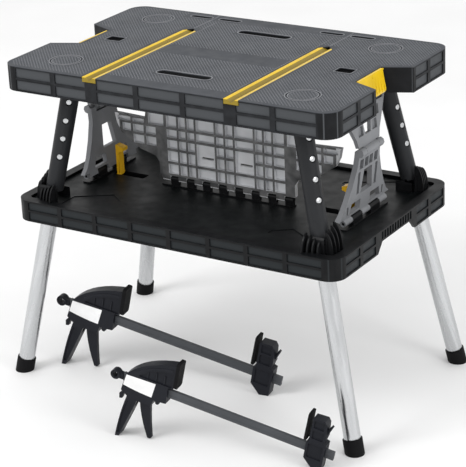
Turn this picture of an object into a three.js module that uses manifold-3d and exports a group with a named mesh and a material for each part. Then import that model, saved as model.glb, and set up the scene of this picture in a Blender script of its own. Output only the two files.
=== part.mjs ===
// A folding work table with a lower shelf, and two bar clamps standing on the floor in front of it.
// Units are millimetres. +Z is up, X runs along the table's length and -Y is its front.
// The origin is on the floor, under the middle of the whole set.
import * as THREE from 'three';
import { mergeVertices } from 'three/addons/utils/BufferGeometryUtils.js';
import Module from 'manifold-3d';

const wasm = await Module();
wasm.setup();

// ---------- driving dimensions ----------
const top = { halfX: 425, halfY: 270, z0: 712, z1: 770, corner: 38, wall: 7, skin: 5 };
const shelf = { halfX: 425, halfY: 266, z0: 397, z1: 447, corner: 38, wall: 7, deckTop: 440, deckUnder: 436 };
const notch = { innerX: 360, innerHalf: 58, outerHalf: 86 };
const groove = { x: 182, half: 18.5, floor: 757.5, backY: 130, tipY: 148 };
const leg = { footX: 450, footY: 254, slopeX: 0.2125, slopeY: 0.1042, r: 19, bore: 16, hingeZ: 413 };
const foot = { r: 22, length: 34, tubeClear: 0.4, sole: 8 };
const strut = {
  hingeZ: 464, topZ: 756, rBottom: 20.5, rTop: 22, bore: 15.2, holeR: 8.2, holes: [85, 130, 174, 219],
  holeTurn: { front_left: 123, front_right: -27, back_left: 0, back_right: -8 }, // degrees from straight out
};
const core = { rOuter: 14.8, rInner: 12.8 };
const support = {
  baseX: 344, baseZ: 456, link: 150, lean: 7, thick: 12, upperThick: 9, knuckle: 7.4, pin: 3.4,
};
const panel = { hingeY: -16, hingeZ: 456, thick: 12, half: 182, shoulder: 213, height: 164, wingX: 302 };
const hook = {
  x: 312, hingeZ: 440, halfThick: 4, halfWidth: 10, height: 72, head: 13, wellFloor: 418, wellWall: 3,
};
const lever = { pivotX: 363.4, pivotZ: 765.6, pin: 2.3, bore: 2.8, half: 54, pinHalf: 63.5 };
const rightLegSkew = 9.6; // degrees: the right legs fold into inner lanes, past the left ones
const gap = 0.3;
const pinPlay = 0.6;
const clamp = {
  tilt: 12.9, yaw: 8.5, places: { clamp_back: [-229, -151, 1.1], clamp_front: [83, -393, 1] }, // x, y, scale
  bodyHalf: 13, barHalf: 4, barLow: -10, barHigh: 10, barStart: -124, barEnd: 378, originZ: 117.5,
};
const setMiddle = { x: -0.1, y: -75.9 }; // middle of the whole set, measured from the middle of the table

const rad = THREE.MathUtils.degToRad;
const corners = { front_left: [-1, -1], front_right: [1, -1], back_left: [-1, 1], back_right: [1, 1] };
const sides = { left: -1, right: 1 };

// ---------- materials ----------
const finish = (color, roughness, metalness) => new THREE.MeshStandardMaterial({ color, roughness,
  metalness });
const plastic = (color, roughness = 0.6) => finish(color, roughness, 0);
const metal = (color, roughness) => finish(color, roughness, 1);
const charcoal = plastic(0x4a4e55);
const black = plastic(0x1d1e20, 0.5);
const gray = plastic(0xa3a7aa);
const yellow = plastic(0xd2b01c, 0.45);
const orange = plastic(0xd29a1c, 0.45);
const aluminium = metal(0xc9cbce, 0.3);
const steel = metal(0x55585b, 0.4);
const rubber = plastic(0x151515, 0.85);

// ---------- solids ----------
function solid(geometry) {
  const g = geometry.clone();
  g.deleteAttribute('normal');
  g.deleteAttribute('uv');
  const merged = mergeVertices(g, 1e-4);
  const vertProperties = new Float32Array(merged.attributes.position.array);
  return new wasm.Manifold(new wasm.Mesh({ numProp: 3, vertProperties, triVerts: merged.index.array }));
}

function geometryOf(manifold) {
  const { vertProperties, triVerts } = manifold.getMesh();
  const g = new THREE.BufferGeometry();
  g.setAttribute('position', new THREE.BufferAttribute(vertProperties, 3));
  g.setIndex(new THREE.BufferAttribute(triVerts, 1));
  return g.toNonIndexed();
}

function join(...geometries) {
  return geometryOf(geometries.map(solid).reduce((a, b) => a.add(b)));
}

function cut(base, ...tools) {
  return geometryOf(tools.map(solid).reduce((a, b) => a.subtract(b), solid(base)));
}

function box(x0, x1, y0, y1, z0, z1) {
  const middle = [(x0 + x1) / 2, (y0 + y1) / 2, (z0 + z1) / 2];
  return new THREE.BoxGeometry(x1 - x0, y1 - y0, z1 - z0).translate(...middle);
}

// A shape drawn in XY, raised from z0 to z1.
function slab(shape, z0, z1, curveSegments = 6) {
  const options = { depth: z1 - z0, bevelEnabled: false, curveSegments };
  return new THREE.ExtrudeGeometry(shape, options).translate(0, 0, z0);
}

// A shape drawn in XZ, running along Y from y0 to y1.
function wallXZ(shape, y0, y1, curveSegments = 6) {
  return slab(shape, 0, y1 - y0, curveSegments).rotateX(Math.PI / 2).translate(0, y1, 0);
}

// A shape drawn in YZ, running along X from x0 to x1.
function wallYZ(shape, x0, x1, curveSegments = 6) {
  return slab(shape, 0, x1 - x0, curveSegments).rotateX(Math.PI / 2).rotateZ(Math.PI / 2).translate(x0, 0, 0);
}

function polygon(points) {
  return new THREE.Shape(points.map(([x, y]) => new THREE.Vector2(x, y)));
}

// A rectangle with round corners, centred on (x, y).
function roundRect(x, y, halfX, halfY, r) {
  const s = new THREE.Shape();
  s.moveTo(x - halfX + r, y - halfY);
  s.absarc(x + halfX - r, y - halfY + r, r, -Math.PI / 2, 0);
  s.absarc(x + halfX - r, y + halfY - r, r, 0, Math.PI / 2);
  s.absarc(x - halfX + r, y + halfY - r, r, Math.PI / 2, Math.PI);
  s.absarc(x - halfX + r, y - halfY + r, r, Math.PI, 1.5 * Math.PI);
  return s;
}

// A straight rod along an axis letter, centred on (x, y, z).
function rod(axis, r, length, x, y, z, segments = 16) {
  const g = new THREE.CylinderGeometry(r, r, length, segments);
  if (axis === 'x') g.rotateZ(Math.PI / 2);
  if (axis === 'z') g.rotateX(Math.PI / 2);
  return g.translate(x, y, z);
}

function tube(profile, segments = 24) {
  const points = profile.map(([r, z]) => new THREE.Vector2(r, z));
  return new THREE.LatheGeometry(points, segments).rotateX(Math.PI / 2);
}

const set = new THREE.Group();
const layout = new THREE.Group(); // measured from the floor under the middle of the table
layout.position.set(-setMiddle.x, -setMiddle.y, 0);
set.add(layout);

function add(parent, name, geometry, material) {
  const mesh = new THREE.Mesh(geometry, material);
  mesh.name = name;
  parent.add(mesh);
  return mesh;
}

// ---------- tabletop ----------
function topOutline(inset) {
  const x = top.halfX - inset;
  const y = top.halfY - inset;
  const r = top.corner - inset;
  const nx = notch.innerX - inset;
  const ni = notch.innerHalf + inset;
  const no = notch.outerHalf + inset;
  const s = new THREE.Shape();
  s.moveTo(-x + r, -y);
  s.absarc(x - r, -y + r, r, -Math.PI / 2, 0);
  for (const [px, py] of [[x, -no], [nx, -ni], [nx, ni], [x, no]]) s.lineTo(px, py);
  s.absarc(x - r, y - r, r, 0, Math.PI / 2);
  s.absarc(-x + r, y - r, r, Math.PI / 2, Math.PI);
  for (const [px, py] of [[-x, no], [-nx, ni], [-nx, -ni], [-x, -no]]) s.lineTo(px, py);
  s.absarc(-x + r, -y + r, r, Math.PI, 1.5 * Math.PI);
  return s;
}

function grooveOutline(x, half, frontY) {
  return polygon([[x - half, frontY], [x + half, frontY], [x + half, groove.backY], [x, groove.tipY],
    [x - half, groove.backY]]);
}

// Shallow panels around a rim, in two rows, between upright ribs.
function rimPockets(body, rows, longBays, shortBays) {
  const depth = 3;
  const pockets = [];
  for (const [z0, z1] of rows) {
    for (const [a, b] of longBays) {
      for (const s of [-1, 1]) {
        const face = s * body.halfY;
        pockets.push(box(a, b, Math.min(face, face - s * depth) - (s < 0 ? 1 : 0),
          Math.max(face, face - s * depth) + (s > 0 ? 1 : 0), z0, z1));
      }
    }
    for (const [a, b] of shortBays) {
      for (const s of [-1, 1]) {
        const face = s * body.halfX;
        pockets.push(box(Math.min(face, face - s * depth) - (s < 0 ? 1 : 0),
          Math.max(face, face - s * depth) + (s > 0 ? 1 : 0), a, b, z0, z1));
      }
    }
  }
  return pockets;
}

// Gaps between ribs of one width, centred on the given places.
function bays(ribs, width) {
  const list = [];
  for (let i = 0; i + 1 < ribs.length; i += 1) list.push([ribs[i] + width / 2, ribs[i + 1] - width / 2]);
  return list;
}

const ribWidth = 13;
const topLongBays = [
  ...bays([-391, -282, -187.5], ribWidth), ...bays([-169.5, -60, 60, 169.5], ribWidth),
  ...bays([187.5, 282, 391], ribWidth),
];
const shelfLongBays = bays([-391, -297, -200, -103, 0, 103, 200, 297, 391], 11);
const endBays = [...bays([-235, -160, -90], ribWidth), ...bays([90, 160, 235], ribWidth)];

const longSlot = { y: 168, halfX: 68, halfY: 12, collar: 3, collarLow: 753 };
const pad = { x: 306, y: 184, inner: 34, outer: 37, deep: 1.5 };
const squareHole = { x: 303, y: 3, halfX: 20, halfY: 15, floor: 764, under: 762.5, wall: 2.5 };

function tabletop() {
  const skinUnder = top.z1 - top.skin;
  const keptInHollow = [];
  for (const s of [-1, 1]) {
    const { y, halfX, halfY, collar, collarLow } = longSlot;
    const { x: sx, y: sy, halfX: shx, halfY: shy, under, wall } = squareHole;
    keptInHollow.push(slab(grooveOutline(s * groove.x, groove.half + 5, -top.halfY), 753, top.z1));
    keptInHollow.push(slab(roundRect(0, s * y, halfX + collar, halfY + collar, halfY + collar - 0.1),
      collarLow, top.z1));
    keptInHollow.push(box(s * sx - shx - wall, s * sx + shx + wall, sy - shy - wall, sy + shy + wall,
      under, top.z1));
  }
  const hollow = cut(slab(topOutline(top.wall), top.z0 - 1, skinUnder), ...keptInHollow);
  const rows = [[716, 738], [744, 766]];
  const tools = [hollow, ...rimPockets(top, rows, topLongBays, endBays)];
  for (const s of [-1, 1]) {
    tools.push(slab(grooveOutline(s * groove.x, groove.half, -top.halfY - 1), groove.floor, top.z1 + 1));
    const { halfX, halfY } = longSlot;
    tools.push(slab(roundRect(0, s * longSlot.y, halfX, halfY, halfY - 0.1), top.z0, top.z1 + 1));
    tools.push(slab(roundRect(s * squareHole.x, squareHole.y, squareHole.halfX, squareHole.halfY, 4),
      squareHole.floor, top.z1 + 1));
    for (const x of [138, 218]) tools.push(slab(roundRect(s * x, 240, 29, 7, 6.9), top.z0, top.z1 + 1, 4));
    tools.push(rod('y', lever.bore, 2 * lever.pinHalf + 2, s * lever.pivotX, 0, lever.pivotZ, 8));
    for (const y of [-pad.y, pad.y]) {
      const ring = tube([[pad.inner, 0], [pad.outer, 0], [pad.outer, 3], [pad.inner, 3], [pad.inner, 0]], 24);
      tools.push(ring.translate(s * pad.x, y, top.z1 - pad.deep));
    }
  }
  return cut(slab(topOutline(0), top.z0, top.z1), ...tools);
}

function grooveInsert(s) {
  const x = s * groove.x;
  const w = groove.half - gap;
  const [low, high, valley] = [groove.floor + 0.5, top.z1 - 0.4, 761.6];
  const profile = polygon([[x - w, low], [x + w, low], [x + w, high], [x + 11, high], [x, valley], [x - 11,
    high],
    [x - w, high]]);
  const bar = solid(wallXZ(profile, -top.halfY + 0.5, groove.tipY));
  const pointed = solid(slab(grooveOutline(x, w, -top.halfY), low - 1, high + 1)).translate(0, -0.5, 0);
  return geometryOf(bar.intersect(pointed));
}

// Horseshoe under the skin that the strut's head swings out of, open towards the table's middle.
function strutSocket(sx, sy) {
  const [x, y] = lineAt(sx, sy, strut.topZ);
  const low = 751;
  const tall = top.z1 - top.skin + 0.1 - low;
  const ring = tube([[26, 0], [30, 0], [30, tall], [26, tall], [26, 0]], 12).translate(x, y, low);
  const mouth = box(...(sx > 0 ? [x - 40, x + 4] : [x - 4, x + 40]), y - 40, y + 40, low - 1, top.z1);
  return cut(ring, mouth);
}

// ---------- shelf ----------
function shelfBody() {
  const rows = [[401, 420], [425, 443]];
  const outline = (inset) => roundRect(0, 0, shelf.halfX - inset, shelf.halfY - inset, shelf.corner - inset);
  const { wellFloor, wellWall } = hook;
  const well = (s, grow, z0, z1) => slab(roundRect(s * 281, 0, 42 + grow, 13 + grow, 3), z0, z1, 3);
  const wells = [-1, 1].map((s) => well(s, wellWall, wellFloor - wellWall, shelf.deckUnder + 1));
  const tools = [
    slab(outline(24), shelf.deckTop, shelf.z1 + 1),
    cut(slab(outline(shelf.wall), shelf.z0 - 1, shelf.deckUnder), ...wells),
    ...rimPockets(shelf, rows, shelfLongBays, endBays),
  ];
  const handHold = polygon([[-88, shelf.z0 - 1], [88, shelf.z0 - 1], [66, 421], [-66, 421]]);
  for (const s of [-1, 1]) {
    tools.push(wallYZ(handHold, Math.min(s * 410, s * 430), Math.max(s * 410, s * 430)));
    for (let i = 0; i < 12; i += 1) {
      const y = -66 + i * 12;
      tools.push(box(s * 424 - 2, s * 424 + 2, y - 4, y + 4, 425, 443));
    }
    tools.push(well(s, 0, wellFloor, shelf.deckTop + 1));
    for (const sy of [-1, 1]) {
      const arm = [[318, 232], [200, 172], [200, 160], [240, 130], [318, 178]];
      const pocket = polygon(arm.map(([x, y]) => [s * x, sy * y]));
      tools.push(slab(pocket, shelf.deckTop - 1.6, shelf.deckTop + 1));
    }
  }
  return cut(slab(outline(0), shelf.z0, shelf.z1), ...tools);
}

// ---------- legs and struts: both lie on one sloping line at each corner ----------
function lineAt(sx, sy, z) {
  return [sx * (leg.footX - leg.slopeX * z), sy * (leg.footY - leg.slopeY * z)];
}

function upLine(sx, sy) {
  return new THREE.Vector3(-sx * leg.slopeX, -sy * leg.slopeY, 1).normalize();
}

// The direction that a strut or leg points along once it is folded.
function foldedLine(sx, sy, skew) {
  return new THREE.Vector3(-sx * Math.cos(rad(skew)), -sy * Math.sin(rad(skew)), 0);
}

// A frame with Z along the member and Y along its hinge pin.
function memberFrame(along, folded) {
  const pin = new THREE.Vector3().crossVectors(along, folded).normalize();
  const side = new THREE.Vector3().crossVectors(pin, along);
  return new THREE.Matrix4().makeBasis(side, pin, along);
}

function placed(parent, name, geometry, material, frame, position) {
  const mesh = add(parent, name, geometry, material);
  mesh.quaternion.setFromRotationMatrix(frame);
  mesh.position.copy(position);
  return mesh;
}

// A U of two cheeks and an outer wall, with stub pins, cut off level at a horizontal plane.
function hingeBracket(frame, at, size, keepAbove) {
  const { inner, cheek, back, low, high, stub, stubReach } = size;
  const parts = [box(-back - cheek, -back, -inner - cheek, inner + cheek, low, high)];
  for (const s of [-1, 1]) {
    const y0 = Math.min(s * inner, s * (inner + cheek));
    const outline = new THREE.Shape();
    outline.moveTo(-back - cheek, low);
    outline.lineTo(size.front, low);
    outline.lineTo(size.front, high - size.front);
    outline.lineTo(0, high);
    outline.lineTo(-back - cheek, high);
    parts.push(wallXZ(outline, y0, y0 + cheek));
    parts.push(rod('y', stub, stubReach + cheek, 0, s * (inner + cheek - (stubReach + cheek) / 2), 0, 8));
  }
  const toLocal = new THREE.Matrix4().setPosition(at).multiply(frame).invert();
  const [z0, z1] = keepAbove === undefined ? [shelf.deckUnder - gap, 700] : [0, keepAbove + gap];
  return cut(join(...parts), box(-600, 600, -600, 600, z0, z1).applyMatrix4(toLocal));
}

// The row of holes faces straight out, away from the table's middle, or is turned from there.
function strutSleeve(length, turn) {
  const { bore, rBottom, rTop, holeR } = strut;
  const head = length - 46;
  const sleeve = tube([[bore, 0], [rBottom, 0], [rTop - 0.6, head], [rTop, head + 1], [rTop, length],
    [bore, length],
    [bore, 0]], 18);
  const holes = strut.holes.map((h) => rod('x', holeR, 20, -18, 0, h, 10).rotateZ(rad(turn)));
  return cut(sleeve, ...holes, rod('y', 5, 60, 0, 0, 0, 8));
}

for (const [corner, [sx, sy]] of Object.entries(corners)) {
  const up = upLine(sx, sy);
  const slope = 1 / up.z;
  const strutAt = new THREE.Vector3(...lineAt(sx, sy, strut.hingeZ), strut.hingeZ);
  const strutFrame = memberFrame(up, foldedLine(sx, sy, 0));
  const length = (strut.topZ - strut.hingeZ) * slope;
  placed(layout, `strut_${corner}`, strutSleeve(length, strut.holeTurn[corner]), black, strutFrame, strutAt);
  const coreTube = tube([[core.rInner, 8], [core.rOuter, 8], [core.rOuter, length - 4], [core.rInner,
    length - 4],
    [core.rInner, 8]], 12);
  placed(layout, `strut_core_${corner}`, coreTube, aluminium, strutFrame, strutAt);
  const strutSize = { inner: 22.6, cheek: 5, back: 21.6, front: 12, low: -40, high: 26, stub: 4.2,
    stubReach: 4.4 };
  placed(layout, `strut_bracket_${corner}`, hingeBracket(strutFrame, strutAt, strutSize, shelf.deckTop),
    black,
    strutFrame, strutAt);

  const down = up.clone().negate();
  const legFrame = memberFrame(down, foldedLine(sx, sy, sx > 0 ? rightLegSkew : 0));
  const legAt = new THREE.Vector3(...lineAt(sx, sy, leg.hingeZ), leg.hingeZ);
  const legLength = leg.hingeZ * slope;
  const soleInside = foot.sole + 6;
  const legTube = cut(tube([[leg.bore, -3], [leg.r, -3], [leg.r, legLength - soleInside], [leg.bore,
    legLength - soleInside],
    [leg.bore, -3]], 20), rod('y', 5, 60, 0, 0, 0, 8));
  placed(layout, `leg_${corner}`, legTube, aluminium, legFrame, legAt);
  const cupFloor = legLength - soleInside + gap;
  const cup = tube([[0, legLength + 10], [0, cupFloor], [leg.r + foot.tubeClear, cupFloor],
    [leg.r + foot.tubeClear, legLength - foot.length], [foot.r, legLength - foot.length], [foot.r,
    legLength + 10],
    [0, legLength + 10]], 20);
  const footLocal = new THREE.Matrix4().setPosition(legAt).multiply(legFrame).invert();
  placed(layout, `foot_${corner}`, cut(cup, box(-600, 600, -600, 600, -60, 0).applyMatrix4(footLocal)),
    rubber,
    legFrame, legAt);
  const legSize = { inner: 19.8, cheek: 4, back: 19.8, front: 10, low: -40, high: 14, stub: 4.2,
    stubReach: 3.4 };
  placed(layout, `leg_bracket_${corner}`, hingeBracket(legFrame, legAt, legSize), black, legFrame, legAt);
}

// ---------- end supports ----------
// Knuckles of one hinge leaf along Y, each a short barrel.
function knuckles(spans, r, x, z) {
  return spans.map(([a, b]) => rod('y', r, b - a, x, (a + b) / 2, z, 8));
}

const endSpans = { outer: [[-95, -62], [-18, 18], [62, 95]], inner: [[-61, -19], [19, 61]] };
const barrelSpans = { outer: [[-48, -29], [29, 48]], inner: [[-28, 28]] };

// An end support's half is drawn with Z from hinge line to hinge line and its inner side towards +X.
// Its plate follows a waisted outline given as half widths along Z.
function waistedPlate(widths, thick) {
  const right = widths.map(([z, w]) => [w, z]);
  const left = [...widths].reverse().map(([z, w]) => [-w, z]);
  return wallYZ(polygon([...right, ...left]), 0, thick);
}

function throughWindows(windows) {
  return windows.map((points) => wallYZ(polygon(points), -20, 40));
}

// Pockets in the outer face between the ribs of a plate.
function ribPockets(cells, depth) {
  return cells.map(([y0, y1, z0, z1]) => box(-1, depth, y0, y1, z0, z1));
}

function lowerHalf() {
  const { link, thick, knuckle, pin } = support;
  const widths = [[9, 114], [20, 100], [43, 84], [80, 65], [120, 50], [140, 48]];
  const windows = [
    [[-26, 50], [26, 50], [18, 104], [-18, 104]],
    [[-70, 14], [-22, 14], [-22, 36], [-62, 36]],
    [[22, 14], [70, 14], [62, 36], [22, 36]],
  ];
  const plate = waistedPlate(widths, thick);
  const cells = [[-44, -34, 52, 104], [34, 44, 52, 104], [-40, -24, 110, 132], [-18, -2, 110, 132], [2, 18,
    110, 132],
    [24, 40, 110, 132], [-82, -76, 14, 34], [76, 82, 14, 34]];
  const ears = [];
  for (const [a, b] of endSpans.outer) ears.push(box(0, thick, a, b, -2, 10));
  for (const [a, b] of barrelSpans.outer) ears.push(box(0, thick, a, b, 138, link + 2));
  const leaf = join(plate, ...ears, ...knuckles(endSpans.outer, knuckle, 0, 0),
    ...knuckles(barrelSpans.outer, 10, 0, link), rod('y', pin, 90, 0, 0, link, 8));
  const pinHole = rod('y', pin + pinPlay, 220, 0, 0, 0, 8);
  return cut(leaf, ...throughWindows(windows), ...ribPockets(cells, thick - 3), pinHole);
}

function upperHalf() {
  const { link, upperThick, knuckle, pin } = support;
  const widths = [[11, 46], [30, 52], [60, 70], [100, 92], [139, 96]];
  const windows = [[[-12, 34], [12, 34], [22, 84], [-22, 84]]];
  const plate = waistedPlate(widths, upperThick);
  const cells = [[-42, -20, 34, 56], [20, 42, 34, 56], [-56, -32, 62, 84], [32, 56, 62, 84], [-80, -46, 92,
    132],
    [-40, -4, 92, 132], [4, 40, 92, 132], [46, 80, 92, 132]];
  const ears = [];
  for (const [a, b] of endSpans.outer) ears.push(box(0, upperThick, a, b, 137, link + 2));
  for (const [a, b] of barrelSpans.inner) ears.push(box(0, upperThick, a, b, -2, 13));
  const boss = box(4, 12, -13, 13, -4, 22);
  const leaf = join(plate, ...ears, boss, ...knuckles(barrelSpans.inner, 10, 0, 0),
    ...knuckles(endSpans.outer, knuckle, 0, link));
  const pinHoles = [0, link].map((z) => rod('y', pin + pinPlay, 220, 0, 0, z, 8));
  return cut(leaf, ...throughWindows(windows), ...ribPockets(cells, upperThick - 3), ...pinHoles);
}

// A hinge rail that carries a pin: on a foot plate on the deck, or in two blocks hung under the tabletop.
function hingeRail(direction, reach) {
  const { knuckle, pin } = support;
  const parts = [...knuckles(endSpans.inner, knuckle, 0, 0), rod('y', pin, 188, 0, 0, 0, 8)];
  const [z0, z1] = direction > 0 ? [0, reach] : [-reach, 0];
  for (const [a, b] of endSpans.inner) parts.push(box(-7, 7, a, b, z0, z1));
  if (direction < 0) parts.push(box(-9, 9, -96, 96, -reach, -reach + 3));
  return join(...parts);
}

for (const [side, s] of Object.entries(sides)) {
  const { baseX, baseZ, link, lean } = support;
  const turn = s > 0 ? Math.PI : 0;
  const outX = link * Math.sin(rad(lean));
  const upZ = link * Math.cos(rad(lean));
  const lower = add(layout, `support_lower_${side}`, lowerHalf(), gray);
  lower.position.set(s * baseX, 0, baseZ);
  lower.rotation.set(0, s * rad(lean), turn, 'YXZ');
  const upper = add(layout, `support_upper_${side}`, upperHalf(), gray);
  upper.position.set(s * (baseX + outX), 0, baseZ + upZ);
  upper.rotation.set(0, -s * rad(lean), turn, 'YXZ');
  const baseRail = add(layout, `base_rail_${side}`, hingeRail(-1, baseZ - shelf.deckTop - gap), black);
  baseRail.position.set(s * baseX, 0, baseZ);
  const topRail = add(layout, `top_rail_${side}`, hingeRail(1, top.z1 - top.skin - gap - baseZ - 2 * upZ),
    black);
  topRail.position.set(s * baseX, 0, baseZ + 2 * upZ);
}

// ---------- centre panel ----------
const panelKnuckle = 22;

function panelSpans(parity) {
  const spans = [];
  for (let i = 0; i < 16; i += 1) {
    const x = -176 + i * panelKnuckle;
    if (i % 2 === parity) spans.push([x + 0.5, x + panelKnuckle - 0.5]);
  }
  return spans;
}

function centrePanel() {
  const { half, shoulder, height, thick, wingX } = panel;
  const rightEdge = [[half, 9], [half, 38], [192, 52], [235, 64], [286, 98], [297, 119], [wingX, 143],
    [shoulder + 4, 140], [shoulder, height]];
  const leftEdge = rightEdge.map(([x, z]) => [-x, z]).reverse();
  const outline = polygon([...rightEdge, ...leftEdge]);
  const plate = wallXZ(outline, -thick / 2, thick / 2);
  const pockets = [];
  const columns = [-160, -127, -103, -79, -25, 0, 25, 79, 103, 127, 160];
  for (let i = 0; i + 1 < columns.length; i += 1) {
    const wide = columns[i + 1] - columns[i] > 40;
    const rows = wide ? [[103, 122], [44, 97], [14, 38]] : [[103, 122], [76, 97], [44, 70], [14, 38]];
    rows.push([128, 158]);
    for (const [z0, z1] of rows) {
      pockets.push(box(columns[i] + 2.5, columns[i + 1] - 2.5, -thick, wide && z1 - z0 > 50 ? 1 : 3, z0, z1));
    }
  }
  for (const s of [-1, 1]) {
    for (const [x0, x1, z0, z1] of [[188, 216, 76, 97], [222, 252, 76, 97], [188, 216, 103, 122], [222,
      252, 103, 122],
      [258, 282, 103, 122], [165, 208, 128, 158], [220, 252, 127, 137], [258, 294, 127, 138]]) {
      pockets.push(box(Math.min(s * x0, s * x1), Math.max(s * x0, s * x1), -thick, 3, z0, z1));
    }
    pockets.push(box(s * 52 - 17, s * 52 + 17, -thick, thick, 60, 66));
  }
  const ears = panelSpans(0).map(([a, b]) => box(a, b, -thick / 2, thick / 2, 0, 10));
  const barrels = panelSpans(0).map(([a, b]) => rod('x', 6, b - a, (a + b) / 2, 0, 0, 8));
  return cut(join(plate, ...ears, ...barrels), ...pockets, rod('x', 3.4, 400, 0, 0, 0, 8));
}

function panelRail() {
  const reach = panel.hingeZ - shelf.deckTop - gap;
  const parts = [rod('x', 2.6, 352, 0, 0, 0, 8), box(-176, 176, -9, 9, -reach, -reach + 3)];
  for (const [a, b] of panelSpans(1)) {
    parts.push(box(a, b, -4.5, 4.5, -reach, 0));
    parts.push(rod('x', 6, b - a, (a + b) / 2, 0, 0, 8));
  }
  return join(...parts);
}

// ---------- hooks and levers ----------
function deckHook(s) {
  const { halfThick: t, height, head, halfWidth } = hook;
  const outline = polygon([
    [s * t, -4], [s * t, height], [-s * (t + head), height - 6], [-s * (t + head), height - 14], [-s * t,
    height - 18],
    [-s * t, -4],
  ]);
  const blade = wallXZ(outline, -halfWidth, halfWidth);
  return join(blade, rod('y', 3.8, 25, 0, 0, 0, 8));
}

// A wedge that hangs in the notch from a pin between the notch's cheeks, seen along Y with the pin at zero.
function releaseLever() {
  const outline = new THREE.Shape();
  outline.moveTo(-2.1, 3.4);
  outline.lineTo(3.4, 3.4);
  outline.quadraticCurveTo(6, -14, 11, -38);
  outline.quadraticCurveTo(12.5, -46, 8, -49.5);
  outline.lineTo(-2.1, -49.5);
  const wedge = wallXZ(outline, -lever.half, lever.half, 5);
  const ribs = [];
  for (let y = -48; y <= 48; y += 12) ribs.push(box(4, 20, y - 1.5, y + 1.5, -60, -6));
  const grooves = ribs.map((g) => g.rotateY(-0.14));
  return join(cut(wedge, ...grooves), rod('y', lever.pin, 2 * lever.pinHalf, 0, 0, 0, 8));
}

const socketParts = Object.values(corners).map(([sx, sy]) => strutSocket(sx, sy));
add(layout, 'tabletop', join(tabletop(), ...socketParts), charcoal);
add(layout, 'shelf', shelfBody(), black);
const panelMesh = add(layout, 'centre_panel', centrePanel(), gray);
panelMesh.position.set(0, panel.hingeY, panel.hingeZ);
const panelRailMesh = add(layout, 'panel_rail', panelRail(), black);
panelRailMesh.position.set(0, panel.hingeY, panel.hingeZ);
for (const [side, s] of Object.entries(sides)) {
  add(layout, `groove_insert_${side}`, grooveInsert(s), yellow);
  const hookMesh = add(layout, `deck_hook_${side}`, deckHook(s), orange);
  hookMesh.position.set(s * hook.x, 0, hook.hingeZ);
  const leverMesh = add(layout, `release_lever_${side}`, releaseLever(), yellow);
  leverMesh.position.set(s * lever.pivotX, 0, lever.pivotZ);
  leverMesh.rotation.z = s > 0 ? 0 : Math.PI;
}

// ---------- bar clamps ----------
// Drawn in XZ: X runs along the bar towards the far jaw and Z points the way the jaws point.
function smooth(points) {
  const s = new THREE.Shape();
  s.moveTo(points[0][0], points[0][1]);
  for (const p of points.slice(1)) {
    if (p.length === 2) s.lineTo(p[0], p[1]);
    else s.quadraticCurveTo(p[0], p[1], p[2], p[3]);
  }
  return s;
}

function clampBody() {
  const { bodyHalf: h, barHalf, barLow, barHigh } = clamp;
  const outline = smooth([
    [-122, -28], [-120, -14], [-115, 15], [-82, 60, -2, 78], [-2, 20], [-14, 19], [-13, -22], [-43, -25],
    [-47, -42],
    [-81, -42], [-94, -92, -110, -145.7], [-119, -147.7], [-117, -88, -106, -38],
  ]);
  const body = join(wallXZ(outline, -h, h, 8), rod('y', 5, 2 * h, -33, 0, -27, 10));
  const channel = box(-200, 60, -barHalf - 0.5, barHalf + 0.5, barLow - 0.5, barHigh + 0.5);
  const triggerPocket = box(-98, -50, -6.5, 6.5, -60, -11.5);
  const releasePocket = box(-130, -104, -5.5, 5.5, -60, -14);
  const finPockets = [-1, 1].map((s) => wallXZ(smooth([[-86, 21], [-62, 50, -6, 57], [-6, 21]]),
    s > 0 ? h - 3 : -h - 1, s > 0 ? h + 1 : -h + 3));
  const gripPockets = [-1, 1].map((s) => wallXZ(smooth([[-104, -48], [-90, -50], [-98, -92, -109.5, -136],
    [-115, -137],
    [-113.5, -88, -104, -48]]), s > 0 ? h - 2.5 : -h - 1, s > 0 ? h + 1 : -h + 2.5));
  return cut(body, channel, triggerPocket, releasePocket, ...finPockets, ...gripPockets);
}

function clampTrigger() {
  const blade = smooth([
    [-68, -16], [-54, -16], [-52.5, -30], [-47, -80, -36, -125], [-38, -127.5], [-45, -128], [-68, -84,
    -76, -46],
    [-74, -30],
  ]);
  return wallXZ(blade, -5.5, 5.5, 8);
}

function clampRelease() {
  const blade = smooth([[-112, -20], [-118, -20], [-121, -34], [-128, -44], [-126, -56], [-119, -54],
    [-117, -40]]);
  return wallXZ(blade, -4.8, 4.8);
}

function farJaw() {
  const { bodyHalf: h, barHalf, barLow, barHigh } = clamp;
  const outline = smooth([
    [319, 20], [319, 78], [346, 80], [352, 72], [355, 40], [352, 26], [359, 24], [359, -38.1], [338, -42.9],
    [315, -22], [314, 18],
  ]);
  const body = wallXZ(outline, -h, h, 8);
  const channel = box(290, 440, -barHalf - gap, barHalf + gap, barLow - gap, barHigh + gap);
  const lockTab = wallXZ(polygon([[350, 50], [360, 70], [364, 68], [356, 46]]), -4, 4);
  const pockets = [];
  for (const s of [-1, 1]) {
    const [y0, y1] = s > 0 ? [h - 3, h + 1] : [-h - 1, -h + 3];
    pockets.push(box(324, 347, y0, y1, 56, 74), box(324, 349, y0, y1, 30, 50), box(320, 353, y0, y1, -18,
      16));
  }
  return cut(join(body, lockTab), channel, ...pockets);
}

function jawPad(x0, x1, z0, z1) {
  const { bodyHalf: h } = clamp;
  return slab(roundRect(0, 0, h + 3, (z1 - z0) / 2, 6), 0, x1 - x0,
    4).rotateX(Math.PI / 2).rotateZ(Math.PI / 2)
    .translate(x0, 0, (z0 + z1) / 2);
}

function hangRing() {
  const eye = rod('y', 11.5, 16, -143, 0, 0, 20);
  const stem = box(-136, clamp.barStart - gap, -6, 6, -7, 7);
  return cut(join(eye, stem), rod('y', 6.5, 40, -143, 0, 0, 16));
}

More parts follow.
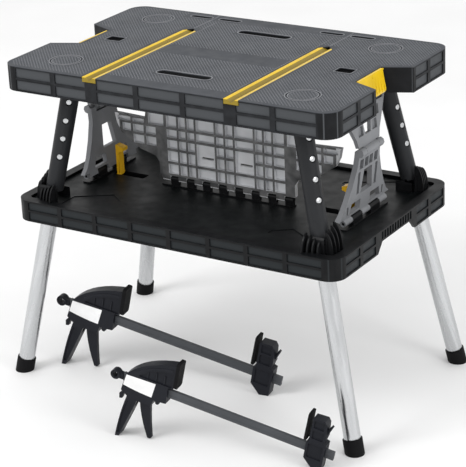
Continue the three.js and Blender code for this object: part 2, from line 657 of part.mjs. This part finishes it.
function clampBar() {
  const { barHalf, barLow, barHigh, barStart, barEnd } = clamp;
  const flutes = [-1, 1].map((s) => box(barStart - 1, barEnd + 1, s > 0 ? barHalf - 0.8 : -barHalf - 1,
    s > 0 ? barHalf + 1 : -barHalf + 0.8, -4.5, -2));
  return cut(box(barStart, barEnd, -barHalf, barHalf, barLow, barHigh), ...flutes);
}

function addClamp(name, [x, y, scale]) {
  const group = new THREE.Group();
  group.position.set(x, y, clamp.originZ * scale);
  group.rotation.set(0, rad(clamp.tilt), rad(clamp.yaw), 'ZYX');
  group.scale.setScalar(scale);
  layout.add(group);
  add(group, `${name}_bar`, clampBar(), steel);
  add(group, `${name}_ring`, hangRing(), black);
  add(group, `${name}_body`, clampBody(), black);
  add(group, `${name}_pad`, jawPad(-1.7, 6.5, 22, 86), rubber);
  add(group, `${name}_trigger`, clampTrigger(), black);
  add(group, `${name}_release`, clampRelease(), black);
  add(group, `${name}_far_jaw`, farJaw(), black);
  add(group, `${name}_far_pad`, jawPad(308, 313.6, 20, 88), rubber);
}

for (const [name, place] of Object.entries(clamp.places)) addClamp(name, place);

export default set;
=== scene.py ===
# Looks for a folding work table with two bar clamps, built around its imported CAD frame.
# Metres throughout. Table millimetres go through at(), and start on the floor under the table's middle.
import math

import bmesh
import bpy
from mathutils import Matrix, Vector


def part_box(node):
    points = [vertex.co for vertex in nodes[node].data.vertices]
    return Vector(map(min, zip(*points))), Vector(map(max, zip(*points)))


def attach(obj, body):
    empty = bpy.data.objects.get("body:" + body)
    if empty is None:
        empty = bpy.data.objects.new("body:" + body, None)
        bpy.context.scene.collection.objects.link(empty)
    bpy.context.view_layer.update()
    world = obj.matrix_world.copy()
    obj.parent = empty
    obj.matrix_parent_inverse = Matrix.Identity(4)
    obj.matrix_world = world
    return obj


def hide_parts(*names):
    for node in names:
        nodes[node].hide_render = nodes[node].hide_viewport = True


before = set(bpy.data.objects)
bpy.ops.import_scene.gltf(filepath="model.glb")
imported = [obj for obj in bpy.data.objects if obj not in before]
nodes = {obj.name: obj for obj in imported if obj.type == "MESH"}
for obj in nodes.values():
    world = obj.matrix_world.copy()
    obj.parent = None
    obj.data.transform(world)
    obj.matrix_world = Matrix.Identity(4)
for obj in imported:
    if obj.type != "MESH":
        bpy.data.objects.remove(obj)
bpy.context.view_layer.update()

MM = 0.001


def middle(node):
    low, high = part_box(node)
    return (low + high) / 2


TABLE = Vector((middle("tabletop").x, middle("tabletop").y, 0))
TOP_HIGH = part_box("tabletop")[1]
DECK = 0.440
CORNERS = {"front_left": (-1, -1), "front_right": (1, -1), "back_left": (-1, 1), "back_right": (1, 1)}


def at(x, y, z):
    """A place given in table millimetres, in the frame's metres."""
    return TABLE + Vector((x, y, z)) * MM


# ---------- material nodes ----------
class Looks:
    """One procedural material, with its nodes laid out by short helper calls."""

    def __init__(self, name, roughness, metallic=0.0, specular=0.5):
        self.material = bpy.data.materials.new(name)
        self.material.use_nodes = True
        self.tree = self.material.node_tree
        self.shader = self.tree.nodes["Principled BSDF"]
        self.shader.inputs["Roughness"].default_value = roughness
        self.shader.inputs["Metallic"].default_value = metallic
        self.shader.inputs["Specular IOR Level"].default_value = specular
        self.place = self.node("ShaderNodeTexCoord").outputs["Object"]

    def node(self, kind, **values):
        made = self.tree.nodes.new(kind)
        for key, value in values.items():
            setattr(made, key, value)
        return made

    def link(self, out, socket):
        self.tree.links.new(out, socket)

    def noise(self, size, detail=2.0, stretch=(1, 1, 1)):
        """Noise with features about that many metres across."""
        mapping = self.node("ShaderNodeMapping")
        mapping.inputs["Scale"].default_value = stretch
        self.link(self.place, mapping.inputs["Vector"])
        noise = self.node("ShaderNodeTexNoise")
        noise.inputs["Scale"].default_value = 1 / size
        noise.inputs["Detail"].default_value = detail
        self.link(mapping.outputs["Vector"], noise.inputs["Vector"])
        return noise.outputs["Fac"]

    def ramp(self, fac, stops):
        """A colour ramp over (position, colour) stops."""
        ramp = self.node("ShaderNodeValToRGB")
        elements = ramp.color_ramp.elements
        while len(elements) < len(stops):
            elements.new(1.0)
        for element, (position, colour) in zip(elements, stops):
            element.position = position
            element.color = (*colour, 1.0)
        self.link(fac, ramp.inputs["Fac"])
        return ramp.outputs["Color"]

    def math(self, operation, a, b=None):
        made = self.node("ShaderNodeMath", operation=operation)
        for value, socket in zip((a, b), made.inputs):
            if value is None:
                continue
            if isinstance(value, (int, float)):
                socket.default_value = value
            else:
                self.link(value, socket)
        return made.outputs[0]

    def mix(self, fac, a, b, blend="MIX"):
        made = self.node("ShaderNodeMix", data_type="RGBA", blend_type=blend)
        for value, socket in ((fac, made.inputs[0]), (a, made.inputs[6]), (b, made.inputs[7])):
            if isinstance(value, (int, float)):
                socket.default_value = value
            elif isinstance(value, tuple):
                socket.default_value = (*value, 1.0)
            else:
                self.link(value, socket)
        return made.outputs[2]

    def along(self, direction, origin):
        """Distance of the surface point from origin, measured along a direction."""
        made = self.node("ShaderNodeVectorMath", operation="SUBTRACT")
        self.link(self.place, made.inputs[0])
        made.inputs[1].default_value = origin
        dot = self.node("ShaderNodeVectorMath", operation="DOT_PRODUCT")
        self.link(made.outputs["Vector"], dot.inputs[0])
        dot.inputs[1].default_value = Vector(direction).normalized()
        return dot.outputs["Value"]

    def near(self, distance, target, tolerance):
        """1 where a distance is within a tolerance of a target, else 0."""
        off = self.math("ABSOLUTE", self.math("SUBTRACT", distance, target))
        return self.math("LESS_THAN", off, tolerance)

    def worn_edges(self, amount):
        """1 on convex edges, fading into the faces, broken up by noise."""
        point = self.node("ShaderNodeNewGeometry").outputs["Pointiness"]
        edge = self.ramp(point, [(0.50, (0, 0, 0)), (0.62, (1, 1, 1))])
        return self.math("MULTIPLY", edge, self.math("MULTIPLY", self.noise(0.02), amount))

    def bump(self, height, distance, strength=1.0):
        made = self.node("ShaderNodeBump")
        made.inputs["Strength"].default_value = strength
        made.inputs["Distance"].default_value = distance
        self.link(height, made.inputs["Height"])
        self.link(made.outputs["Normal"], self.shader.inputs["Normal"])


def shade(colour, factor):
    return tuple(min(1.0, c * factor) for c in colour)


def moulded(name, colour, roughness=0.45, grain=0.0012, depth=0.00006, wear=0.2, masks=(),
            specular=0.12):
    """Moulded plastic: mottled, finely grained, rubbed lighter at edges. Masks recolour regions."""
    look = Looks(name, roughness, specular=specular)
    base = look.ramp(look.noise(0.06, 4.0), [(0.3, shade(colour, 0.88)), (0.7, shade(colour, 1.1))])
    for region, tint in masks:
        base = look.mix(region(look), base, tint)
    rubbed = tuple(min(1.0, c * 1.8 + 0.03) for c in colour)
    scuffed = look.mix(look.worn_edges(wear), base, rubbed)
    look.link(scuffed, look.shader.inputs["Base Color"])
    smoother, rougher = (roughness - 0.06,) * 3, (roughness + 0.08,) * 3
    rough = look.ramp(look.noise(0.03, 3.0), [(0.3, smoother), (0.7, rougher)])
    look.link(rough, look.shader.inputs["Roughness"])
    look.bump(look.noise(grain, 2.0), depth)
    return look.material


# ---------- colours (linear) ----------
CHARCOAL = (0.046, 0.050, 0.058)
# Painted highlight: the tabletop's pips and raised lips are this lighter gray, standing in for glints on
# its pebbled face.
PIP_HIGHLIGHT = (0.175, 0.180, 0.192)
RIM_GRAY = (0.058, 0.062, 0.067)
BLACK = (0.0045, 0.0048, 0.0055)
DECK_BLACK = (0.0035, 0.0045, 0.0048)
SHELF_RIM = (0.018, 0.021, 0.023)
STRUT_BLACK = (0.020, 0.021, 0.023)
GRAY = (0.19, 0.195, 0.205)
PANEL_GRAY = (0.62, 0.63, 0.65)
# Painted shade: the dark lines between the centre panel's light cells.
RIB_SHADE = (0.030, 0.031, 0.033)
YELLOW = (0.70, 0.46, 0.010)
# Painted shade: the darker olive on the sunk floor of the yellow grooves.
CHANNEL_SHADE = (0.22, 0.15, 0.008)
ORANGE = (0.80, 0.44, 0.015)
RUBBER = (0.004, 0.004, 0.0045)
STEEL = (0.060, 0.064, 0.070)
CLAMP_BLACK = (0.011, 0.012, 0.016)
LABEL = (0.80, 0.80, 0.80)


def rim_panels(box, depth):
    """The recessed floors of the rim's pockets, on a moulding with that box."""
    low, high = box

    def region(look):
        centre = (low + high) / 2
        half = (high - low) / 2
        across = look.math("ABSOLUTE", look.along((1, 0, 0), centre))
        deep = look.math("ABSOLUTE", look.along((0, 1, 0), centre))
        tolerance = 0.0006
        ends = look.near(across, half.x - depth, tolerance)
        fronts = look.near(deep, half.y - depth, tolerance)
        return look.math("MAXIMUM", ends, fronts)
    return region


def plane_mask(direction, origin, tolerance=0.0005):
    def region(look):
        return look.near(look.along(direction, origin), 0.0, tolerance)
    return region


def panel_rib_shade(look):
    """The front of the centre panel's ribs, away from its borders, painted dark as the shade lines
    between its cells.
    """
    low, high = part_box("centre_panel")
    front = look.near(look.along((0, 1, 0), low), 0.0, 0.0005)
    middle_x = (low + high) / 2
    inside = look.math("LESS_THAN", look.math("ABSOLUTE", look.along((1, 0, 0), middle_x)), 0.290)
    below = look.math("LESS_THAN", look.along((0, 0, 1), high), -0.004)
    return look.math("MULTIPLY", front, look.math("MULTIPLY", inside, below))


def channel_floor_shade(look):
    """The sunk middle of the yellow groove inserts, where darker olive is painted as shade."""
    return look.math("LESS_THAN", look.along((0, 0, 1), TOP_HIGH), -0.0016)


def rim_sides_shade(box):
    """Everything on a moulding below its top face, painted near black on the tabletop as shade on its
    rim ribs and bands.
    """
    low, high = box

    def region(look):
        return look.math("LESS_THAN", look.along((0, 0, 1), high), -0.0015)
    return region


def aluminium(name, direction):
    """Drawn tube: streaks along its length over a bright soft gloss."""
    look = Looks(name, 0.22, metallic=1.0)
    axis = Vector(direction).normalized()
    turn = axis.to_track_quat("Z", "Y").inverted().to_euler()
    mapping = look.node("ShaderNodeMapping")
    mapping.inputs["Rotation"].default_value = turn
    look.link(look.place, mapping.inputs["Vector"])
    look.place = mapping.outputs["Vector"]
    streak = look.noise(0.010, 1.0, stretch=(1, 1, 0.002))
    look.link(look.ramp(streak, [(0.3, (0.52, 0.53, 0.54)), (0.7, (0.60, 0.61, 0.62))]),
              look.shader.inputs["Base Color"])
    look.link(look.ramp(streak, [(0.35, (0.22,) * 3), (0.65, (0.32,) * 3)]),
              look.shader.inputs["Roughness"])
    look.bump(streak, 0.00001)
    return look.material


# ---------- finish of each CAD node ----------
def give(node, material):
    slots = nodes[node].data.materials
    slots.clear()
    slots.append(material)


def leg_direction(name):
    low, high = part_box(name)
    side_x = 1 if middle(name).x > TABLE.x else -1
    side_y = 1 if middle(name).y > TABLE.y else -1
    return (side_x * (high.x - low.x), side_y * (high.y - low.y), low.z - high.z)


def finish_cad():
    tabletop_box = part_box("tabletop")
    shelf_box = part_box("shelf")
    # Painted shade: the tabletop's rim ribs, bands and underside are near black, with the pocket floors
    # mid-gray.
    give("tabletop", moulded("charcoal_plastic", CHARCOAL, 0.5, masks=[
        (rim_sides_shade(tabletop_box), BLACK), (rim_panels(tabletop_box, 0.003), RIM_GRAY)]))
    give("shelf", moulded("shelf_plastic", BLACK, 0.42, masks=[
        (plane_mask((0, 0, 1), (0, 0, DECK)), DECK_BLACK), (rim_panels(shelf_box, 0.003), SHELF_RIM)]))
    give("centre_panel", moulded("panel_gray", PANEL_GRAY, 0.5, masks=[(panel_rib_shade, RIB_SHADE)]))
    kinds = {
        "black": moulded("black_plastic", BLACK, 0.38),
        "strut": moulded("strut_plastic", STRUT_BLACK, 0.42, grain=0.0022, depth=0.0001),
        "rubber": moulded("black_rubber", RUBBER, 0.7, grain=0.0008, wear=0.1),
        "insert": moulded("insert_plastic", YELLOW, 0.32, wear=0.1, specular=0.3,
                          masks=[(channel_floor_shade, CHANNEL_SHADE)]),
        "yellow": moulded("yellow_plastic", YELLOW, 0.32, wear=0.1, specular=0.3),
        "orange": moulded("orange_plastic", ORANGE, 0.35, wear=0.1),
        "clamp": moulded("clamp_plastic", CLAMP_BLACK, 0.4),
        "bar": moulded("dark_bar", STEEL, 0.35),
        "gray": moulded("gray_plastic", GRAY, 0.5),
    }
    rules = [("leg_bracket", "black"), ("strut_bracket", "black"), ("base_rail", "black"),
             ("top_rail", "black"), ("panel_rail", "black"), ("strut_core", "tube"), ("leg_", "tube"),
             ("strut_", "strut"), ("foot_", "rubber"), ("groove_insert", "insert"),
             ("release_lever", "yellow"), ("deck_hook", "orange"), ("support_", "gray"),
             ("clamp_", "clamp")]
    for name in nodes:
        kind = next((value for start, value in rules if name.startswith(start)), None)
        if name.endswith("_pad"):
            kind = "rubber"
        elif name.endswith("_bar"):
            kind = "bar"
        if kind == "tube":
            give(name, aluminium("aluminium_" + name, leg_direction(name)))
        elif kind:
            give(name, kinds[kind])
    return kinds


def smoothing_nodes(angle):
    """A node group that shades faces smooth and keeps edges steeper than the angle sharp."""
    tree = bpy.data.node_groups.new("smooth_by_angle", "GeometryNodeTree")
    tree.interface.new_socket("Geometry", in_out="INPUT", socket_type="NodeSocketGeometry")
    tree.interface.new_socket("Geometry", in_out="OUTPUT", socket_type="NodeSocketGeometry")
    start = tree.nodes.new("NodeGroupInput")
    end = tree.nodes.new("NodeGroupOutput")
    plain = tree.nodes.new("GeometryNodeRemoveAttribute")
    plain.inputs["Name"].default_value = "custom_normal"
    faces = tree.nodes.new("GeometryNodeSetShadeSmooth")
    faces.domain = "FACE"
    edges = tree.nodes.new("GeometryNodeSetShadeSmooth")
    edges.domain = "EDGE"
    edges.inputs["Shade Smooth"].default_value = False
    steep = tree.nodes.new("GeometryNodeInputMeshEdgeAngle")
    compare = tree.nodes.new("FunctionNodeCompare")
    compare.data_type = "FLOAT"
    compare.operation = "GREATER_THAN"
    compare.inputs[1].default_value = angle
    tree.links.new(steep.outputs["Unsigned Angle"], compare.inputs[0])
    tree.links.new(start.outputs[0], plain.inputs["Geometry"])
    tree.links.new(plain.outputs["Geometry"], faces.inputs["Geometry"])
    tree.links.new(faces.outputs["Geometry"], edges.inputs["Geometry"])
    tree.links.new(compare.outputs["Result"], edges.inputs["Selection"])
    tree.links.new(edges.outputs["Geometry"], end.inputs[0])
    return tree


def soften(thing, smoothing, width=0.0006):
    """Merges facets, dissolves flat ones, rounds sharp edges and shades the rest smooth."""
    weld = thing.modifiers.new("weld", "WELD")
    weld.merge_threshold = 0.00002
    flat = thing.modifiers.new("flat", "DECIMATE")
    flat.decimate_type = "DISSOLVE"
    flat.angle_limit = math.radians(1.0)
    bevel = thing.modifiers.new("bevel", "BEVEL")
    bevel.width = width
    bevel.segments = 2
    bevel.limit_method = "ANGLE"
    bevel.angle_limit = math.radians(50)
    bevel.use_clamp_overlap = True
    smooth = thing.modifiers.new("smooth", "NODES")
    smooth.node_group = smoothing
    weighted = thing.modifiers.new("weighted", "WEIGHTED_NORMAL")
    weighted.keep_sharp = True


# ---------- pieces ----------
def piece(name, body, material, solids):
    """One object from closed solids, each a (vertices in metres, faces) pair."""
    vertices, faces = [], []
    for points, polygons in solids:
        first = len(vertices)
        vertices.extend(points)
        faces.extend([tuple(first + i for i in polygon) for polygon in polygons])
    mesh = bpy.data.meshes.new(name)
    mesh.from_pydata(vertices, [], faces)
    shape = bmesh.new()
    shape.from_mesh(mesh)
    bmesh.ops.recalc_face_normals(shape, faces=shape.faces)
    shape.to_mesh(mesh)
    shape.free()
    mesh.materials.append(material)
    thing = bpy.data.objects.new(name, mesh)
    bpy.context.scene.collection.objects.link(thing)
    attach(thing, body)
    return thing


def prism(outline, place, low, high):
    """An outline of (a, b) raised from low to high; place(a, b, c) gives each point in metres."""
    count = len(outline)
    points = [place(a, b, low) for a, b in outline] + [place(a, b, high) for a, b in outline]
    sides = [(i, (i + 1) % count, count + (i + 1) % count, count + i) for i in range(count)]
    return points, [tuple(range(count))[::-1], tuple(range(count, 2 * count))] + sides


def band(inner, outer, place, low, high):
    """A closed ring between two outlines with the same number of points."""
    count = len(inner)
    rows = [(inner, low), (outer, low), (outer, high), (inner, high)]
    points = [place(a, b, level) for outline, level in rows for a, b in outline]
    faces = []
    for row in range(4):
        for i in range(count):
            nxt, above = (i + 1) % count, (row + 1) % 4
            faces.append((row * count + i, row * count + nxt, above * count + nxt,
                          above * count + i))
    return points, faces


def rounded(x, y, half_x, half_y, radius, steps=6):
    """A rectangle with round corners, as points in order."""
    points = []
    for turn, sx, sy in ((0, 1, 1), (90, -1, 1), (180, -1, -1), (270, 1, -1)):
        for step in range(steps + 1):
            angle = math.radians(turn + 90 * step / steps)
            points.append((x + sx * (half_x - radius) + radius * math.cos(angle),
                           y + sy * (half_y - radius) + radius * math.sin(angle)))
    return points


# The tabletop's face, and the depths inside it where pips and lips start.
TOP_FACE, PIP_LOW, LIP_LOW = 770, 769.7, 769.6


def pip(x, y, long_half, short_half, height):
    """A low four-sided point standing on the tabletop."""
    base = PIP_LOW
    points = [at(x - long_half, y, base), at(x, y - short_half, base), at(x + long_half, y, base),
              at(x, y + short_half, base), at(x, y, TOP_FACE + height)]
    return points, [(3, 2, 1, 0), (0, 1, 4), (1, 2, 4), (2, 3, 4), (3, 0, 4)]


GROOVE_X, SLOT_Y = 182, 168
PADS = [(sx * 306, sy * 184) for sx in (-1, 1) for sy in (-1, 1)]


def carries_pips(x, y):
    """True where the top's pebbled texture runs."""
    ax, ay = abs(x), abs(y)
    if ax > 416 or ay > 261 or (ax > 392 and ay > 237 and math.hypot(ax - 387, ay - 232) > 28):
        return False
    if ax > 350 and ay < 66 + (ax - 350) * 0.42:
        return False
    if abs(ax - GROOVE_X) < 25 and y < 154:
        return False
    if ax < 158 and (y < -232 or -42 < y < 22):
        return False
    if y > 221 and ax < 262:
        return False
    if abs(ay - SLOT_Y) < 18 and ax < 74:
        return False
    if abs(ax - 303) < 27 and abs(y - 3) < 22:
        return False
    return all(not 32 < math.hypot(x - px, y - py) < 41 for px, py in PADS)


def tabletop_pips(material):
    pitch_x, pitch_y = 8.4, 4.6
    solids = []
    for row in range(-58, 59):
        for column in range(-52, 53):
            x = (column + 0.5 * (row % 2)) * pitch_x
            y = row * pitch_y
            if carries_pips(x, y):
                solids.append(pip(x, y, 3.1, 1.7, 0.75))
    piece("tabletop_pips", "tabletop", material, solids)


def tabletop_rims(material):
    """Raised lips round the slots, holes and pads, and score lines behind the grooves."""
    solids = []
    for end in (-1, 1):
        solids.append(band(rounded(0, end * SLOT_Y, 68.6, 12.6, 12.5),
                           rounded(0, end * SLOT_Y, 71.6, 15.6, 15.5), at, LIP_LOW, 770.9))
        solids.append(band(rounded(end * 303, 3, 20.6, 15.6, 4.2),
                           rounded(end * 303, 3, 22.4, 17.4, 5), at, LIP_LOW, 770.6))
        for x in (138, 218):
            solids.append(band(rounded(end * x, 240, 29.6, 7.6, 7.5),
                               rounded(end * x, 240, 31.6, 9.6, 9.5), at, LIP_LOW, 770.7))
        for x in (end * GROOVE_X - 1.2, end * GROOVE_X + 1.2):
            solids.append(prism(rounded(x, 206, 0.5, 56, 0.4, 2), at, LIP_LOW, 770.3))
        solids.append(prism(rounded(end * 158.6, -10, 0.5, 222, 0.4, 2), at, LIP_LOW, 770.3))
    for x, y in PADS:
        solids.append(band(rounded(x, y, 37.4, 37.4, 37.3), rounded(x, y, 39.6, 39.6, 39.5),
                           at, LIP_LOW, 770.8))
        solids.append(band(rounded(x, y, 31.6, 31.6, 31.5), rounded(x, y, 33.6, 33.6, 33.5),
                           at, LIP_LOW, 770.6))
    piece("tabletop_rims", "tabletop", material, solids)


# The sloping line of each corner's strut, as in the CAD.
FOOT_X, FOOT_Y, SLOPE_X, SLOPE_Y = 450, 254, 0.2125, 0.1042
STRUT_HINGE, STRUT_TOP = 464, 756


def line_at(corner, z):
    sx, sy = CORNERS[corner]
    return Vector((sx * (FOOT_X - SLOPE_X * z), sy * (FOOT_Y - SLOPE_Y * z), z))


def strut_place(corner, turn=0.0):
    """Maps a strut's own millimetres to metres: c runs up it, and -a faces out, turned in degrees."""
    sx, sy = CORNERS[corner]
    up = Vector((-sx * SLOPE_X, -sy * SLOPE_Y, 1)).normalized()
    pin = up.cross(Vector((-sx, 0, 0))).normalized()
    side = pin.cross(up)
    spin = Matrix.Rotation(math.radians(turn), 3, up)
    side, pin = spin @ side, spin @ pin
    origin = line_at(corner, STRUT_HINGE)
    return lambda a, b, c: at(*(origin + side * a + pin * b + up * c))


HOLES = (85, 130, 174, 219)
HOLE_TURNS = {"front_left": 123, "front_right": -27, "back_left": 0, "back_right": -8}
STRUT_LENGTH = (STRUT_TOP - STRUT_HINGE) * math.sqrt(1 + SLOPE_X ** 2 + SLOPE_Y ** 2)


def dome(place, height, radius, depth, crown):
    """A round button facing -a at a height on the strut."""
    rings = [(depth + 3, radius), (depth, radius), (depth - crown * 0.7, radius * 0.75),
             (depth - crown, radius * 0.35)]
    count = 16
    points = []
    for along, r in rings:
        for i in range(count):
            angle = 2 * math.pi * i / count
            points.append(place(along, r * math.cos(angle), height + r * math.sin(angle)))
    faces = [tuple(range(count)), tuple(range(3 * count, 4 * count))[::-1]]
    for row in range(3):
        for i in range(count):
            nxt = (i + 1) % count
            faces.append((row * count + i, row * count + nxt, (row + 1) * count + nxt,
                          (row + 1) * count + i))
    return points, faces


def strut_details(corner, button, black):
    place = strut_place(corner, HOLE_TURNS[corner])
    body = "strut_" + corner
    piece(f"buttons_{corner}", body, button,
          [dome(place, h, 7.6, -17.5, 2.2) for h in HOLES])
    upright = strut_place(corner)
    teeth = 18
    ribs = []
    for i in range(teeth):
        angle = 2 * math.pi * i / teeth
        tooth = [(21.2 * math.cos(angle + d), 21.2 * math.sin(angle + d)) for d in (-0.07, 0.07)]
        tooth += [(23.4 * math.cos(angle + d), 23.4 * math.sin(angle + d)) for d in (0.05, -0.05)]
        ribs.append(prism(tooth, upright, STRUT_LENGTH - 62, STRUT_LENGTH - 47))
    circle = [(math.cos(2 * math.pi * i / 32), math.sin(2 * math.pi * i / 32)) for i in range(32)]
    for low, high in ((STRUT_LENGTH - 64, STRUT_LENGTH - 62), (STRUT_LENGTH - 47, STRUT_LENGTH - 45)):
        ribs.append(band([(21 * a, 21 * b) for a, b in circle],
                         [(23.6 * a, 23.6 * b) for a, b in circle], upright, low, high))
    piece(f"strut_cap_{corner}", body, black, ribs)


def fin_outline(near, far, tall):
    """A curved fin seen from the side: (distance from the strut, height over the deck)."""
    steps = 10
    curve = [(near + (far - near) * math.sin(math.pi / 2 * i / steps),
              tall * math.cos(math.pi / 2 * i / steps)) for i in range(steps + 1)]
    return [(near, -0.4)] + curve[:-1] + [(far, 6), (far, -0.4)]


def strut_foot(corner, material):
    """Curved fins and low walls round a strut's foot, in place of its plain bracket."""
    sx, sy = CORNERS[corner]
    centre = line_at(corner, 470)
    solids = []

    def outwards(offset):
        return lambda a, b, c: at(centre.x + sx * a, centre.y + sy * (offset + c), 440 + b)

    def frontwards(offset):
        return lambda a, b, c: at(centre.x + sx * (offset + c), centre.y + sy * a, 440 + b)

    for i in range(4):
        solids.append(prism(fin_outline(23.5, 46 - 2 * i, 62 - 5 * i), outwards(-18 + 11 * i), 0, 3.6))
    for i in range(4):
        solids.append(prism(fin_outline(24.5, 50 - 3 * i, 44 - 4 * i), frontwards(-20 + 11 * i), 0, 3.6))
    wall = [(24.5, -0.4), (24.5, 38), (28, 34), (28, -0.4)]
    solids.append(prism(wall, outwards(-22), 0, 44))
    solids.append(prism(wall, frontwards(-24), 0, 48))
    solids.append(prism([(-24.5, -0.4), (-24.5, 22), (-28, 18), (-28, -0.4)], frontwards(-20), 0, 40))
    thing = piece(f"strut_foot_{corner}", "shelf", material, solids)
    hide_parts("strut_bracket_" + corner)


# The clamps stand as in the CAD: place, scale, tilt and turn.
CLAMPS = {"clamp_back": (-229, -151, 1.1), "clamp_front": (83, -393, 1.0)}
CLAMP_TILT, CLAMP_YAW, CLAMP_Z, CLAMP_HALF = 12.9, 8.5, 117.5, 13


def clamp_place(name):
    x, y, scale = CLAMPS[name]
    yaw = Matrix.Rotation(math.radians(CLAMP_YAW), 3, "Z")
    turn = yaw @ Matrix.Rotation(math.radians(CLAMP_TILT), 3, "Y")
    origin = Vector((x, y, CLAMP_Z * scale))
    return lambda u, w, v: at(*(origin + turn @ Vector((u, v, w)) * scale))


def curve_points(start, control, end, steps=8):
    points = []
    for i in range(steps + 1):
        t = i / steps
        points.append(tuple((1 - t) ** 2 * a + 2 * t * (1 - t) * b + t * t * c
                            for a, b, c in zip(start, control, end)))
    return points


def clamp_details(name, label, black):
    place = clamp_place(name)
    plate = [(-114, 14), (-43, 17), (-48, -19)] + curve_points((-48, -19), (-80, -19), (-118.5, -13))[1:]
    solids = []
    for side in (-1, 1):
        low, high = sorted((side * (CLAMP_HALF - 0.4), side * (CLAMP_HALF + 0.7)))
        solids.append(prism(plate, place, low, high))
    piece(f"{name}_label", name, label, solids)
    arc_in = curve_points((-84, 27), (-60, 54), (-8, 61))
    arc_out = curve_points((-88, 30), (-62, 59), (-8, 66))
    ribs = []
    for side in (-1, 1):
        low, high = sorted((side * (CLAMP_HALF - 0.4), side * (CLAMP_HALF + 0.9)))
        ribs.append(prism(arc_in + arc_out[::-1], place, low, high))
        for u in (-66, -46, -26):
            ribs.append(prism([(u, 24), (u + 2.6, 24), (u + 2.6, 44), (u, 43)], place,
                              *sorted((side * (CLAMP_HALF - 3.2), side * (CLAMP_HALF - 0.8)))))
    piece(f"{name}_ribs", name, black, ribs)


def details(kinds):
    # The pips and lips get the lighter gray as painted highlight.
    pip_highlight = moulded("pip_highlight_plastic", PIP_HIGHLIGHT, 0.5)
    label = moulded("label_plate", LABEL, 0.35, wear=0.05)
    button = aluminium("button_metal", (0, 0, 1))
    tabletop_pips(pip_highlight)
    tabletop_rims(pip_highlight)
    for corner in CORNERS:
        strut_details(corner, button, kinds["black"])
        strut_foot(corner, kinds["black"])
    for name in CLAMPS:
        clamp_details(name, label, kinds["clamp"])


# ---------- stage, light and camera ----------
def stage():
    size = 6.0
    mesh = bpy.data.meshes.new("floor")
    corners = [(-size, -size, 0), (size, -size, 0), (size, size, 0), (-size, size, 0)]
    mesh.from_pydata(corners, [], [(0, 1, 2, 3)])
    floor = bpy.data.objects.new("floor", mesh)
    bpy.context.scene.collection.objects.link(floor)
    look = Looks("floor_paint", 0.7)
    look.link(look.ramp(look.noise(0.5), [(0.3, (0.86, 0.86, 0.86)), (0.7, (0.9, 0.9, 0.9))]),
              look.shader.inputs["Base Color"])
    floor.data.materials.append(look.material)


def area_light(name, place, target, size, power):
    light = bpy.data.lights.new(name, "AREA")
    light.size = size
    light.energy = power
    thing = bpy.data.objects.new(name, light)
    thing.location = place
    thing.rotation_euler = (Vector(target) - Vector(place)).to_track_quat("-Z", "Y").to_euler()
    bpy.context.scene.collection.objects.link(thing)


def lights():
    world = bpy.data.worlds.new("studio")
    bpy.context.scene.world = world
    world.use_nodes = True
    world.node_tree.nodes["Background"].inputs["Color"].default_value = (1, 1, 1, 1)
    world.node_tree.nodes["Background"].inputs["Strength"].default_value = 1.0
    area_light("key", (-1.5, -2.6, 3.2), (0, 0, 0.6), 1.6, 60)
    area_light("side", (3.2, -0.6, 1.8), (0, 0, 0.6), 1.2, 30)


def camera():
    azimuth = math.radians(33.04)
    elevation = math.radians(22.05)
    roll = math.radians(-2.66)
    back = Vector((math.sin(azimuth) * math.cos(elevation),
                   -math.cos(azimuth) * math.cos(elevation), math.sin(elevation)))
    right = Vector((math.cos(azimuth), math.sin(azimuth), 0))
    up = back.cross(right)
    rolled_right = right * math.cos(roll) + up * math.sin(roll)
    rolled_up = up * math.cos(roll) - right * math.sin(roll)
    data = bpy.data.cameras.new("camera")
    data.lens = 144.9
    data.sensor_width = 36.0
    thing = bpy.data.objects.new("camera", data)
    turn = Matrix((rolled_right, rolled_up, back)).transposed().to_4x4()
    thing.matrix_world = Matrix.Translation(at(2200, -3386, 1974)) @ turn
    bpy.context.scene.collection.objects.link(thing)
    bpy.context.scene.camera = thing


kinds = finish_cad()
smoothing = smoothing_nodes(math.radians(50))
for node in nodes.values():
    soften(node, smoothing)
details(kinds)
stage()
lights()
camera()
bpy.context.scene.view_settings.view_transform = "Standard"
